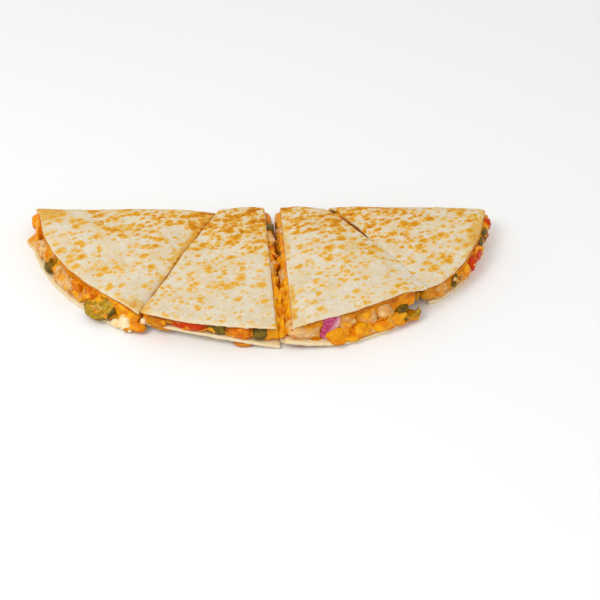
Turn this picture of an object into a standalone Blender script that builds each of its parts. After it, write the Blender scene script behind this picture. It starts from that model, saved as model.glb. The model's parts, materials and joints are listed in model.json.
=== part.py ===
"""Chicken and cheese quesadilla: a round flour tortilla folded over its filling and cut into four wedges.

The wedges still lie as the half moon that they were cut from. Each is one folded tortilla piece, a body of
melted cheese that runs through it, and the lumps of filling that show at its rim and at the middle cut.
Metres, +Z up. The fold runs along X at the back, the open rim faces -Y, and the wedges rest on z = 0.
"""
import math

import bmesh
import bpy
from mathutils import Euler, Matrix, Vector, noise

MM = 0.001

# The tortilla, flat, before it was folded, and the middle of its circle, which lies just behind the front
# of the fold's round once it is folded. Positions are measured from the outermost back of the fold.
DISC_RADIUS = 150 * MM
CIRCLE_MIDDLE_Y = 5.5 * MM
SHEET = 2.4 * MM

# Clearance between pieces that touch, and how far it makes a cutter grow past the piece it cuts for.
CLEARANCE = 0.45 * MM
CUTTER_GROWTH = 0.4 * MM

# Where the knife pressed the top sheet down along a cut, and how far from the cut that reaches.
PRESSED_DEPTH = 2.6 * MM
PRESSED_WIDTH = 8 * MM

# The top sheet leaves the height of the fold and reaches the height of the rim over this distance.
EASE_LENGTH = 70 * MM
CROWN = 2.0 * MM
LUMP_HEIGHT = 0.7 * MM
LUMP_SIZE = 24 * MM

# Steps round the fold, shares of a layer's length at its steps, and levels of the filling's rim.
FOLD_STEPS = 6
FILLING_TURNS = (-90, -35, 35, 90)
LAYER_SHARES = (0.22, 0.46, 0.7, 0.88, 1.0)
RIM_LEVELS = (0.78, 0.5, 0.22)

SHORTEST_REACH = 10 * MM
SIDE_LENGTH = 125 * MM
TURN_STEPS = 12
RING_HOLE = 0.68


class Side:
    """One long side of a wedge.

    fold: where the side starts at the outermost back of the fold (x, y), and how high the fold is there.
    swings: how far the top and the bottom sheet's edge swing from straight ahead.
    pressed: how hard the knife pressed the edge down.
    swells: how far the filling swells out of the side, at the fold and at the rim.
    """

    def __init__(self, fold, swings, pressed=1.0, swells=(0.4, 0.4)):
        self.fold_x, self.fold_y, self.fold_height = (f * MM for f in fold)
        self.top_swing, self.bottom_swing = (math.radians(s) for s in swings)
        self.pressed = pressed
        self.swells = [s * MM for s in swells]


class Wedge:
    """A wedge between two sides. Each list of millimetres is for its left side, its middle and its right.

    heights: the top sheet's rim over the table; lifts: the bottom sheet's rim over the table.
    top_past, bottom_past: how far that sheet's rim lies outside the disc's true circle.
    filling_in: how far inside the true circle the melted cheese stops.
    """

    def __init__(self, left, right, rings, heights, lifts, top_past, bottom_past, filling_in):
        self.left = left
        self.right = right
        self.rings = rings
        self.heights = [h * MM for h in heights]
        self.lifts = [h * MM for h in lifts]
        self.top_radii = [DISC_RADIUS + p * MM for p in top_past]
        self.bottom_radii = [DISC_RADIUS + p * MM for p in bottom_past]
        self.filling_radii = [DISC_RADIUS - p * MM for p in filling_in]


def even_steps(count):
    return [k / count for k in range(count + 1)]


def close_steps_first(count):
    """Steps that crowd towards the left tip, where the rim runs almost across the wedge."""
    return [1 - math.cos(k / count * math.pi / 2) for k in range(count + 1)]


def close_steps_last(count):
    return [math.sin(k / count * math.pi / 2) for k in range(count + 1)]


WEDGES = {
    1: Wedge(
        left=Side((-149.5, -1.5, 17.5), (0, -12), pressed=0, swells=(3, 3)),
        right=Side((-30.2, -2.5, 17.5), (-21.4, -23), pressed=1.2),
        rings=close_steps_first(8),
        heights=(16.5, 17.5, 16.5),
        lifts=(0, 0, 1),
        top_past=(-1.5, -7, -7.5),
        bottom_past=(5, 1, -0.5),
        filling_in=(2, 8, 6),
    ),
    2: Wedge(
        left=Side((-28.4, -2, 18.5), (-20.8, -20.8), pressed=0.4),
        right=Side((3.8, 0, 19.5), (4.2, 5.2), pressed=0.7, swells=(3.4, 1)),
        rings=even_steps(7),
        heights=(18.5, 16.5, 18),
        lifts=(4, 5, 0),
        top_past=(-4, -8.5, -8.5),
        bottom_past=(-9, -10.5, -7),
        filling_in=(12, 14, 13),
    ),
    3: Wedge(
        left=Side((14, 0, 19.8), (3.9, 1.8), pressed=0.7, swells=(2.6, 1.2)),
        right=Side((47.8, -1.5, 19), (32.8, 29.5), pressed=0.5, swells=(0, -5)),
        rings=even_steps(7),
        heights=(20, 22.5, 22),
        lifts=(5, 0, 0),
        top_past=(-5.5, -6.5, -4),
        bottom_past=(-6, -0.5, -2),
        filling_in=(12, 9, 4),
    ),
    4: Wedge(
        left=Side((51.8, 0, 19.5), (32.4, 35), pressed=0.6),
        right=Side((150.5, -1.5, 18), (2, 2), pressed=0, swells=(3, 3)),
        rings=close_steps_last(8),
        heights=(17.5, 17, 16.5),
        lifts=(0, 0, 0),
        top_past=(-2.5, 0.5, 1),
        bottom_past=(-4, 1, 2.5),
        filling_in=(6, 1, -1),
    ),
}


def mix(a, b, t):
    return a + (b - a) * t


def smooth(t):
    t = min(max(t, 0.0), 1.0)
    return t * t * (3 - 2 * t)


def three_point(values, u):
    """A parabola through the values at u = 0, 0.5 and 1."""
    first, middle, last = values
    return first * (1 - u) * (1 - 2 * u) + 4 * middle * u * (1 - u) + last * u * (2 * u - 1)


def fold_radius(wedge, u):
    return mix(wedge.left.fold_height, wedge.right.fold_height, u) / 2


def plan_point(wedge, u, distance, level):
    """The point of the table that far in front of the fold's round, on the ray at u.

    The rays run from the fold to the rim and share the wedge out between its sides, u = 0 and u = 1. level
    runs from 0, at the bottom sheet, to 1, at the top one.
    """
    left, right = wedge.left, wedge.right
    at_top = mix(left.top_swing, right.top_swing, u)
    swing = mix(mix(left.bottom_swing, right.bottom_swing, u), at_top, level)
    x = mix(left.fold_x, right.fold_x, u) + distance * math.sin(swing)
    y = mix(left.fold_y, right.fold_y, u) - fold_radius(wedge, u) - distance * math.cos(swing)
    return x, y


def sheet_reach(wedge, u, radii, level):
    """Length of sheet from the crown of the fold to a circle about the disc's middle, along the ray at u."""
    radius = three_point(radii, u)
    x, y = plan_point(wedge, u, 0, level)
    y -= CIRCLE_MIDDLE_Y
    beyond = x * x + y * y - radius * radius
    if beyond >= 0:
        return math.sqrt(max(radius * radius - x * x, SHORTEST_REACH**2))
    ahead_x, ahead_y = plan_point(wedge, u, 1, level)
    along = x * (ahead_x - x) + y * (ahead_y - CIRCLE_MIDDLE_Y - y)
    return fold_radius(wedge, u) * math.pi / 2 - along + math.sqrt(along * along - beyond)


def layer_reach(wedge, u, radii, level):
    """How far a layer runs on from the round of the fold, along the ray at u."""
    half_round = fold_radius(wedge, u) * math.pi / 2
    return max(sheet_reach(wedge, u, radii, level) - half_round, 0.0)


def pressed_by_knife(wedge, u, distance):
    left_x, left_y = plan_point(wedge, 0, distance, 1)
    right_x, right_y = plan_point(wedge, 1, distance, 1)
    width = math.hypot(right_x - left_x, right_y - left_y)
    near_left = math.exp(-((u * width / PRESSED_WIDTH) ** 2)) * wedge.left.pressed
    near_right = math.exp(-(((1 - u) * width / PRESSED_WIDTH) ** 2)) * wedge.right.pressed
    return PRESSED_DEPTH * (near_left + near_right)


def top_height(wedge, u, distance, reach):
    """Height of the top sheet's upper face that far from the fold, on a ray of that reach."""
    share = min(distance / max(reach, MM), 1.0)
    fold_height = 2 * fold_radius(wedge, u)
    height = mix(fold_height, three_point(wedge.heights, u), smooth(distance / EASE_LENGTH))
    height += CROWN * math.sin(math.pi * share) * smooth(reach / EASE_LENGTH)
    lump = noise.noise(Vector((*plan_point(wedge, u, distance, 1), 0)) / LUMP_SIZE)
    height += LUMP_HEIGHT * lump * smooth(distance / LUMP_SIZE)
    return height - pressed_by_knife(wedge, u, distance)


def bottom_height(wedge, u, distance, reach):
    """Height of the bottom sheet's under face: flat on the table, with a rim that may curl up."""
    share = distance / max(reach, MM)
    return max(three_point(wedge.lifts, u), 0.0) * smooth((share - 0.62) / 0.38)


def round_point(wedge, u, turn, inset):
    """A point on the round of the fold. turn runs from -90 degrees, below, to 90, above."""
    radius = fold_radius(wedge, u)
    level = (1 + math.sin(turn)) / 2
    x, y = plan_point(wedge, u, 0, level)
    ahead_x, ahead_y = plan_point(wedge, u, 1, level)
    back = (radius - inset) * math.cos(turn)
    height = radius + (radius - inset) * math.sin(turn) - pressed_by_knife(wedge, u, 0) * level
    return Vector((x - back * (ahead_x - x) / (y - ahead_y), y + back, height))


def layer_point(wedge, u, distance, top, inset):
    """A point of the top or bottom layer, 1 or 0, inset from the sheet's outer face."""
    if top:
        reach = layer_reach(wedge, u, wedge.top_radii, 1)
        height = top_height(wedge, u, distance, reach) - inset
    else:
        reach = layer_reach(wedge, u, wedge.bottom_radii, 0)
        height = bottom_height(wedge, u, distance, reach) + inset
    return Vector((*plan_point(wedge, u, distance, top), height))


def sheet_row(wedge, u):
    """Points along the outer face of the sheet, from the bottom rim round the fold to the top rim."""
    radius = fold_radius(wedge, u)
    half_round = radius * math.pi / 2
    reaches = sheet_reach(wedge, u, wedge.bottom_radii, 0), sheet_reach(wedge, u, wedge.top_radii, 1)
    most_turn = min(math.pi / 2, *(0.75 * reach / radius for reach in reaches))
    turns = [mix(-most_turn, most_turn, k / FOLD_STEPS) for k in range(FOLD_STEPS + 1)]
    rounded = [round_point(wedge, u, turn, 0) for turn in turns]
    layers = []
    for top, reach in enumerate(reaches):
        points = []
        for share in LAYER_SHARES:
            length = mix(most_turn * radius, reach, share)
            if length > half_round:
                points.append(layer_point(wedge, u, length - half_round, top, 0))
            else:
                turn = length / radius
                points.append(round_point(wedge, u, turn if top else -turn, 0))
        layers.append(points)
    return layers[0][::-1] + rounded + layers[1]


def new_object(name, builder, color, roughness):
    """An object of its own material, with the bmesh as its mesh, shaded smooth but for its sharp edges."""
    bmesh.ops.triangulate(builder, faces=builder.faces)
    mesh = bpy.data.meshes.new(name)
    builder.to_mesh(mesh)
    builder.free()
    mesh.shade_smooth()
    mesh.set_sharp_from_angle(angle=math.radians(40))
    material = bpy.data.materials.new(name)
    material.use_nodes = True
    shader = material.node_tree.nodes["Principled BSDF"]
    shader.inputs["Base Color"].default_value = (*color, 1)
    shader.inputs["Roughness"].default_value = roughness
    mesh.materials.append(material)
    made = bpy.data.objects.new(name, mesh)
    bpy.context.scene.collection.objects.link(made)
    return made


def as_cutter(made):
    made.hide_render = True
    made.display_type = "WIRE"
    return made


def boolean(target, operation, other):
    modifier = target.modifiers.new(other.name, "BOOLEAN")
    modifier.operation = operation
    modifier.solver = "EXACT"
    modifier.object = other


def tortilla(number, wedge):
    """The folded sheet: its outer face as a grid, given its thickness inwards."""
    builder = bmesh.new()
    rows = [[builder.verts.new(p) for p in sheet_row(wedge, u)] for u in wedge.rings]
    for row, after in zip(rows, rows[1:]):
        for k in range(len(row) - 1):
            builder.faces.new((row[k], row[k + 1], after[k + 1], after[k]))
    sheet = new_object(f"tortilla_{number}", builder, (0.86, 0.74, 0.56), 0.7)
    thickness = sheet.modifiers.new("thickness", "SOLIDIFY")
    thickness.thickness = SHEET
    thickness.offset = -1
    return sheet


def filling_ring(wedge, u, outward, bulge):
    """A closed outline of the filling on the ray at u, from the inside of the fold out to its rim and back.

    outward moves the rim past the wedge's own filling radius, and bulge rounds it out at half its height.
    """
    inset = SHEET + CLEARANCE
    outline = [round_point(wedge, u, math.radians(turn), inset) for turn in FILLING_TURNS]
    layers, ends = [], []
    for top, radii in enumerate((wedge.bottom_radii, wedge.top_radii)):
        end = max(layer_reach(wedge, u, wedge.filling_radii, top) + outward, 2 * MM)
        under_sheet = max(min(layer_reach(wedge, u, radii, top), 0.97 * end), 1.5 * MM)
        stops = [under_sheet * share for share in LAYER_SHARES[1:]] + [end]
        layers.append([layer_point(wedge, u, stop, top, inset) for stop in stops])
        ends.append(end)
    below, above = layers
    rim = []
    for level in RIM_LEVELS:
        lump = noise.noise(Vector((above[-1].x, above[-1].y, 40 * MM * level)) / (9 * MM))
        out = mix(*ends, level)
        out += bulge * math.sin(math.pi * level) * (1 + 0.9 * lump)
        height = mix(below[-1].z, above[-1].z, level)
        rim.append(Vector((*plan_point(wedge, u, out, level), height)))
    return outline + above + rim + below[::-1]


def swell_at(side, point):
    """How far the filling stands out of a side at a point. Below zero, the side is hollow there."""
    return mix(*side.swells, smooth(-point.y / SIDE_LENGTH))


def outwards(side, sign):
    return Vector((math.cos(side.top_swing), math.sin(side.top_swing), 0)) * sign


def hollowed(ring, side, sign):
    """The outline of a side, moved in sideways where the side is hollow."""
    return [point + outwards(side, sign) * min(swell_at(side, point), 0.0) for point in ring]


def pushed_out(ring, side, sign, swell_scale, rounding):
    """The outline of a side, moved sideways by the filling's swell and drawn in towards its own middle."""
    centre = sum(ring, Vector()) / len(ring)
    moved = []
    for point in ring:
        swell = swell_at(side, point)
        pulled = point - centre
        drawn_in = min(max(1 - rounding * swell / pulled.length, 0.3), 1.0)
        moved.append(centre + pulled * drawn_in + outwards(side, sign) * swell * swell_scale)
    return moved


def filling_body(wedge, outward=0.0, bulge=0.0, swell_scale=1.0, rounding=0.0):
    """The space between the layers as a closed bmesh: rings of outline joined across the wedge.

    A side that swells gets one more ring. The room for the lumps, whose swell is scaled up, has no hollows.
    """
    rings = [filling_ring(wedge, u, outward, bulge) for u in wedge.rings]
    outlines = list(rings)
    for end, side, sign in ((0, wedge.left, -1), (-1, wedge.right, 1)):
        if max(side.swells) > 0:
            swollen = pushed_out(rings[end], side, sign, swell_scale, rounding)
            outlines.insert(0 if end == 0 else len(outlines), swollen)
        elif swell_scale == 1:
            outlines[end] = hollowed(rings[end], side, sign)
    builder = bmesh.new()
    loops = [[builder.verts.new(p) for p in outline] for outline in outlines]
    for loop, after in zip(loops, loops[1:]):
        for k in range(len(loop)):
            following = (k + 1) % len(loop)
            builder.faces.new((loop[k], after[k], after[following], loop[following]))
    builder.faces.new(loops[0])
    builder.faces.new(loops[-1][::-1])
    bmesh.ops.recalc_face_normals(builder, faces=builder.faces)
    return builder


def rounded_lump(builder, size, seed, squareness, dents):
    """Pushes a ball out towards its box and dents it by noise, so that it stays a star-shaped lump."""
    for vertex in builder.verts:
        direction = vertex.co.normalized()
        out = sum(abs(c) ** squareness for c in direction) ** (-1 / squareness)
        out *= 1 + dents * noise.noise(direction * 1.3 + Vector((seed, 0, 0)))
        vertex.co = Vector([c * out * s / 2 for c, s in zip(direction, size)])
    return builder


def cubic_ball():
    builder = bmesh.new()
    bmesh.ops.create_cube(builder, size=2)
    bmesh.ops.subdivide_edges(builder, edges=builder.edges, cuts=1, use_grid_fill=True)
    return builder


def torn_lump(size, grown, seed):
    """Pulled meat or set cheese: a rounded lump with deep dents, finer if it is long."""
    if max(size) > 18 * MM:
        builder = bmesh.new()
        bmesh.ops.create_icosphere(builder, subdivisions=2, radius=1)
    else:
        builder = cubic_ball()
    return rounded_lump(builder, [s + 2 * grown for s in size], seed, 2.8, 0.30)


def diced_lump(size, grown, seed):
    """A cut cube of vegetable, with soft edges."""
    return rounded_lump(cubic_ball(), [s + 2 * grown for s in size], seed, 4.5, 0.16)


def onion_petal(size, grown, _seed):
    """A curved leaf of onion: a slab that thins towards its ends and bows about an upright line."""
    width, thickness, height = (s + 2 * grown for s in size)
    bow = 0.9 * size[0]
    builder = bmesh.new()
    bmesh.ops.create_cube(builder, size=1)
    along = [e for e in builder.edges if abs(e.verts[0].co.x - e.verts[1].co.x) > 0.5]
    bmesh.ops.subdivide_edges(builder, edges=along, cuts=4, use_grid_fill=True)
    for vertex in builder.verts:
        x, y, z = vertex.co
        taper = 1 - 0.8 * x * x
        vertex.co = Vector((x * width, y * thickness * taper + bow * x * x, z * height * taper))
    return builder


def turned(outline, closed):
    """A bmesh turned about its Z axis from an outline of (radius, height) points."""
    builder = bmesh.new()
    points = [builder.verts.new((r, 0, z)) for r, z in outline]
    pairs = list(zip(points, points[1:]))
    if closed:
        pairs.append((points[-1], points[0]))
    edges = [builder.edges.new(pair) for pair in pairs]
    bmesh.ops.spin(builder, geom=points + edges, axis=(0, 0, 1), angle=math.tau, steps=TURN_STEPS)
    bmesh.ops.remove_doubles(builder, verts=builder.verts, dist=0.01 * MM)
    bmesh.ops.recalc_face_normals(builder, faces=builder.faces)
    return builder


def flattened(builder, size):
    """Makes a round piece oval, as its size asks."""
    bmesh.ops.scale(builder, vec=(1, size[1] / size[0], 1), verts=builder.verts)
    return builder


def pepper_slice(size, grown, _seed):
    """A slice of pepper with a raised wall and a sunken, seedy middle. Its cutter is a plain oval disc."""
    radius, half = size[0] / 2 + grown, size[2] / 2 + grown
    if grown:
        outline = ((0, half), (radius, half), (radius, -half), (0, -half))
        return flattened(turned(outline, closed=False), size)
    sunken = (0, 0.35 * half), (0.5 * radius, 0.4 * half), (0.68 * radius, half)
    wall = (0.92 * radius, 0.9 * half), (radius, 0.2 * half), (0.95 * radius, -0.8 * half)
    outline = (*sunken, *wall, (0.6 * radius, -half), (0, -half))
    return flattened(turned(outline, closed=False), size)


def pepper_ring(size, grown, _seed):
    """A hollow ring of pepper. Its cutter is a plain oval disc, which clears the hole as well."""
    radius, half = size[0] / 2 + grown, size[2] / 2 + grown
    if grown:
        outline = ((0, half), (radius, half), (radius, -half), (0, -half))
        return flattened(turned(outline, closed=False), size)
    inner = RING_HOLE * radius
    outline = ((inner, -half), (radius, -half), (radius, half), (inner, half))
    return flattened(turned(outline, closed=True), size)


# Each kind of filling: how its mesh is made, its colour and its roughness.
KINDS = {
    "chicken": (torn_lump, (0.80, 0.58, 0.36), 0.55),
    "tomato": (diced_lump, (0.72, 0.10, 0.03), 0.30),
    "pepper": (diced_lump, (0.16, 0.19, 0.03), 0.35),
    "pepper_slice": (pepper_slice, (0.42, 0.34, 0.04), 0.30),
    "pepper_ring": (pepper_ring, (0.50, 0.36, 0.05), 0.30),
    "onion": (onion_petal, (0.62, 0.14, 0.30), 0.35),
    "white_cheese": (torn_lump, (0.92, 0.86, 0.72), 0.40),
    "cheese_lump": (torn_lump, (0.90, 0.50, 0.04), 0.35),
}


class Lump:
    """A piece of filling that shows at the rim: its bearing on the disc, the distance of its front from the
    disc's middle, and its height. Its size is along the rim, in from it, and up. Its tilt is about the rim's
    line, about the way out, and about the upright.
    """

    def __init__(self, kind, bearing, front, height, size, tilt=(0, 0, 0)):
        self.kind = kind
        self.size = [s * MM for s in size]
        angle = math.radians(bearing)
        out = (front - size[1] / 2) * MM
        y = CIRCLE_MIDDLE_Y - out * math.cos(angle)
        self.place = Vector((out * math.sin(angle), y, height * MM))
        tilted = Euler([math.radians(t) for t in tilt]).to_matrix()
        self.turn = Matrix.Rotation(angle, 3, "Z") @ tilted


class CutLump:
    """A piece that shows in the cut: how far in front of the fold's back it lies along a wedge's side, how
    far it stands out of that side, and its height. Its size is across the cut, along it, and up."""

    def __init__(self, kind, side, along, out, height, size):
        self.kind = kind
        self.size = [s * MM for s in size]
        swing = (side.top_swing + side.bottom_swing) / 2
        across = math.copysign(size[0] / 2 - abs(out), -out) * MM
        x = side.fold_x + along * MM * math.sin(swing) + across
        self.place = Vector((x, side.fold_y - along * MM, height * MM))
        self.turn = Matrix.Rotation(swing, 3, "Z")


MIDDLE_CUT_LEFT = WEDGES[2].right
MIDDLE_CUT_RIGHT = WEDGES[3].left
LUMPS = {
    1: [
        Lump("chicken", -71.8, 153, 8, (13, 12, 9.5)),
        Lump("pepper", -64.4, 152.5, 7.2, (8, 7, 7)),
        Lump("chicken", -58.5, 151, 7.8, (17, 11, 9.5), (0, 6, 4)),
        Lump("tomato", -52.4, 149.5, 8, (11, 10, 9.5), (0, 0, 20)),
        Lump("tomato", -47, 146.5, 9, (11, 9, 9), (0, 0, -15)),
        Lump("pepper_slice", -42, 156, 8, (26, 22, 4.5), (26, -5, 0)),
        Lump("white_cheese", -33.6, 149.8, 6.8, (8.5, 9, 8.5)),
    ],
    2: [
        Lump("tomato", -18.4, 139.5, 11.5, (24, 9, 7), (0, 0, -3)),
        Lump("pepper", -9.8, 139, 11, (11, 8, 7)),
        Lump("tomato", -3.8, 140, 10, (12, 8, 8), (0, 0, 4)),
        Lump("pepper", 1.2, 140, 9.5, (8.5, 8, 8)),
        CutLump("pepper", MIDDLE_CUT_LEFT, 25, 4, 11, (10, 11, 10)),
        CutLump("chicken", MIDDLE_CUT_LEFT, 39, 4, 10, (12, 13, 13)),
        CutLump("tomato", MIDDLE_CUT_LEFT, 53, 3.6, 10, (10, 12, 11)),
        CutLump("chicken", MIDDLE_CUT_LEFT, 72, 3.2, 10, (12, 17, 13)),
    ],
    3: [
        Lump("chicken", 12.8, 142.5, 9.5, (24, 13, 14), (0, 6, 0)),
        Lump("onion", 19.2, 143, 11, (13, 3.5, 15), (0, 10, 8)),
        Lump("chicken", 23.6, 145, 12, (10, 9, 12), (0, 0, 15)),
        Lump("cheese_lump", 19.8, 147.5, 6.5, (12, 9, 8)),
        Lump("chicken", 29, 145.5, 11, (12, 11, 14), (0, 0, -10)),
        Lump("cheese_lump", 26.2, 150, 6.8, (11, 9, 9)),
        Lump("chicken", 33.6, 147.5, 12, (10, 10, 9)),
        Lump("pepper", 38.4, 148.5, 9.5, (8.6, 7.6, 6.8)),
        Lump("cheese_lump", 34, 151, 6.3, (26, 8, 7), (0, -8, 0)),
        Lump("pepper_ring", 40.6, 153.5, 8.4, (26, 20, 5), (32, 0, 0)),
        CutLump("chicken", MIDDLE_CUT_RIGHT, 31, -3.6, 10, (12, 19, 13)),
        CutLump("chicken", MIDDLE_CUT_RIGHT, 80, -4.4, 10, (12, 23, 13)),
    ],
    4: [
        Lump("chicken", 52, 150.5, 8, (13, 11, 10)),
        Lump("pepper", 57, 152, 9, (8, 7, 8), (0, 0, 15)),
        Lump("chicken", 61.2, 152.5, 7.5, (10, 9, 9), (0, 0, -12)),
        Lump("tomato", 65.2, 154, 8.5, (9, 8, 9), (0, 0, 25)),
        Lump("tomato", 69.3, 154.5, 9.5, (10, 9, 9), (0, 0, -10)),
        Lump("pepper", 73.4, 153.5, 10, (8, 6.5, 7)),
        Lump("pepper", 77.6, 154.5, 9.5, (9, 7, 8)),
        Lump("tomato", 81.6, 155.5, 11, (7, 6.5, 6.5)),
    ],
}


def lump_object(name, lump, grown, seed):
    """The lump as an object, placed and turned. Grown, it is the cutter that makes room for the lump."""
    maker, color, roughness = KINDS[lump.kind]
    made = new_object(name, maker(lump.size, grown, seed), color, roughness)
    made.matrix_world = Matrix.Translation(lump.place) @ lump.turn.to_4x4()
    return made


def keep_largest_body(made):
    """Applies the object's Booleans, and drops the crumbs that they leave beside the main body."""
    bpy.context.view_layer.update()
    evaluated = made.evaluated_get(bpy.context.evaluated_depsgraph_get())
    mesh = bpy.data.meshes.new_from_object(evaluated)
    made.modifiers.clear()
    made.data = mesh
    builder = bmesh.new()
    builder.from_mesh(mesh)
    waiting = set(builder.verts)
    bodies = []
    while waiting:
        body, reached = set(), [next(iter(waiting))]
        while reached:
            vertex = reached.pop()
            if vertex not in body:
                body.add(vertex)
                reached.extend(e.other_vert(vertex) for e in vertex.link_edges)
        waiting -= body
        bodies.append(body)
    bodies.sort(key=len)
    crumbs = [vertex for body in bodies[:-1] for vertex in body]
    bmesh.ops.delete(builder, geom=crumbs, context="VERTS")
    builder.to_mesh(mesh)
    builder.free()


def near(first, second):
    """Whether two lumps are close enough for one to cut into the other."""
    reach = (max(first.size) + max(second.size)) / 2
    return (first.place - second.place).length < reach


def wedge_objects(number, wedge):
    """A wedge's tortilla, its filling lumps kept between the layers, and the cheese that holds them."""
    made = [tortilla(number, wedge)]
    room = filling_body(wedge, outward=25 * MM, swell_scale=1.4)
    between = as_cutter(new_object(f"between_layers_{number}", room, (1, 1, 1), 1))
    melted = filling_body(wedge, bulge=1.5 * MM, rounding=0.6)
    cheese = new_object(f"cheese_{number}", melted, (0.88, 0.44, 0.03), 0.35)
    placed = []
    for index, lump in enumerate(LUMPS[number]):
        name = f"{lump.kind}_{number}{chr(ord('a') + index)}"
        seed = 10.0 * number + index
        piece = lump_object(name, lump, 0, seed)
        boolean(piece, "INTERSECT", between)
        for other, cutter in placed:
            if near(lump, other):
                boolean(piece, "DIFFERENCE", cutter)
        cutter = as_cutter(lump_object(f"{name}_pocket", lump, CUTTER_GROWTH, seed))
        boolean(cheese, "DIFFERENCE", cutter)
        placed.append((lump, cutter))
        made.append(piece)
    made.append(cheese)
    for piece in made[1:]:
        keep_largest_body(piece)
    return made


def centre_on_table(pieces):
    """Moves the wedges together, so that the origin is under the middle of them, on the table."""
    bpy.context.view_layer.update()
    graph = bpy.context.evaluated_depsgraph_get()
    corners = []
    for piece in pieces:
        evaluated = piece.evaluated_get(graph)
        corners += [evaluated.matrix_world @ v.co for v in evaluated.data.vertices]
    low = Vector([min(c[k] for c in corners) for k in range(3)])
    high = Vector([max(c[k] for c in corners) for k in range(3)])
    middle = (low + high) / 2
    whole = bpy.data.objects.new("quesadilla", None)
    bpy.context.scene.collection.objects.link(whole)
    whole.location = (-middle.x, -middle.y, -low.z)
    for piece in pieces:
        piece.parent = whole


def main():
    for leftover in list(bpy.data.objects):
        bpy.data.objects.remove(leftover)
    pieces = []
    for number, wedge in WEDGES.items():
        pieces += wedge_objects(number, wedge)
    centre_on_table(pieces)


main()
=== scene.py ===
"""Dresses the chicken and cheese quesadilla: four toasted tortilla wedges, melted cheese, and what is in it."""
import json
import math
import random

import bpy
from mathutils import Matrix, Vector, noise
from mathutils.bvhtree import BVHTree
from mathutils.kdtree import KDTree

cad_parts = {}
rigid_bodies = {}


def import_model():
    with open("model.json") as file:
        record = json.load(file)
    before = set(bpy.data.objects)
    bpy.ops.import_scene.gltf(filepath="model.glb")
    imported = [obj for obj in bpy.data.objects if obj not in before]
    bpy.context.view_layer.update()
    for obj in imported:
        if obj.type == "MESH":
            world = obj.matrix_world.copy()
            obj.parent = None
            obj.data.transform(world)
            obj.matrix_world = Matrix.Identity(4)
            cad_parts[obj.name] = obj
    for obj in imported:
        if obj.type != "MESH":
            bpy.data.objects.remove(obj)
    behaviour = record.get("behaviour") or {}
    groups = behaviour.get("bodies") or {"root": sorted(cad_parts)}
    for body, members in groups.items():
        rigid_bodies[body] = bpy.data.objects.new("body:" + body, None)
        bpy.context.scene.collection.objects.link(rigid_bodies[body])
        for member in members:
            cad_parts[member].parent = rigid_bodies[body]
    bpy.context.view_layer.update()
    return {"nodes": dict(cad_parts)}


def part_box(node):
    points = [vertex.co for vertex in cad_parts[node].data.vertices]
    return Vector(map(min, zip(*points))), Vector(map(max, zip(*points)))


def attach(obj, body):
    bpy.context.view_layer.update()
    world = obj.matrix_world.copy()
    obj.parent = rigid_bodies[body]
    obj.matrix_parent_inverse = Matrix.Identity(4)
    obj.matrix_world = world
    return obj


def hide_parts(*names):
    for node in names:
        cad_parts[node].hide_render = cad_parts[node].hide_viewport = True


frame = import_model()
MM = 0.001

# The four tortilla wedges. Each is a piece of one soft flour tortilla, rolled thin and folded over the filling.
# It was toasted on a griddle, where its blisters browned first, and then cut through with a knife.


def only(*pieces):
    """Selects these pieces and nothing else."""
    bpy.ops.object.select_all(action="DESELECT")
    for piece in pieces:
        piece.select_set(True)
    bpy.context.view_layer.objects.active = pieces[0]


def cast_from(node, name):
    """A new piece with the shape of a CAD node, its loose triangles merged into one skin."""
    piece = bpy.data.objects.new(name, frame["nodes"][node].data.copy())
    bpy.context.scene.collection.objects.link(piece)
    piece.data.materials.clear()
    only(piece)
    bpy.ops.object.mode_set(mode="EDIT")
    bpy.ops.mesh.select_all(action="SELECT")
    bpy.ops.mesh.remove_doubles(threshold=0.02 * MM)
    bpy.ops.object.mode_set(mode="OBJECT")
    return piece


def shaped(piece, kind, **settings):
    """Gives the piece one modifier and applies it."""
    modifier = piece.modifiers.new(kind.lower(), kind)
    for name, value in settings.items():
        setattr(modifier, name, value)
    only(piece)
    bpy.ops.object.modifier_apply(modifier=modifier.name)
    return piece


def reworked(piece, move):
    """Moves each point of the skin to move(point, normal)."""
    points = [v.co.copy() for v in piece.data.vertices]
    normals = [n.vector.copy() for n in piece.data.vertex_normals]
    flat = [c for p, n in zip(points, normals) for c in move(p, n)]
    piece.data.vertices.foreach_set("co", flat)
    piece.data.update()
    return piece


def painted(piece, name, value):
    """Stores value(point, normal) on each point of the skin, for the material to read."""
    points = [v.co.copy() for v in piece.data.vertices]
    normals = [n.vector.copy() for n in piece.data.vertex_normals]
    layer = piece.data.attributes.new(name, "FLOAT", "POINT")
    layer.data.foreach_set("value", [value(p, n) for p, n in zip(points, normals)])
    return piece


def eased(low, high, value):
    """0 below low, 1 above high, and a smooth rise between them."""
    t = min(max((value - low) / (high - low), 0.0), 1.0)
    return t * t * (3 - 2 * t)


def near_point(p, x, y, reach):
    """1 at a place on the table's plan, and 0 from reach away."""
    return 1 - eased(0, reach, math.hypot(p.x - x, p.y - y))


def put(tree, kind, inputs=None, **settings):
    """Adds a node. An input is a value, or the output that feeds it."""
    made = tree.nodes.new(kind)
    for name, value in settings.items():
        setattr(made, name, value)
    for name, value in (inputs or {}).items():
        if isinstance(value, bpy.types.NodeSocket):
            tree.links.new(value, made.inputs[name])
        else:
            made.inputs[name].default_value = value
    return made


def sum_of(tree, operation, first, second=0.0, clamp=False):
    return put(tree, "ShaderNodeMath", {0: first, 1: second}, operation=operation, use_clamp=clamp).outputs[0]


def fade(tree, value, low, high):
    """0 where value is under low, 1 over high."""
    settings = {"Value": value, "From Min": low, "From Max": high}
    return put(tree, "ShaderNodeMapRange", settings, interpolation_type="SMOOTHSTEP").outputs["Result"]


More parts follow.
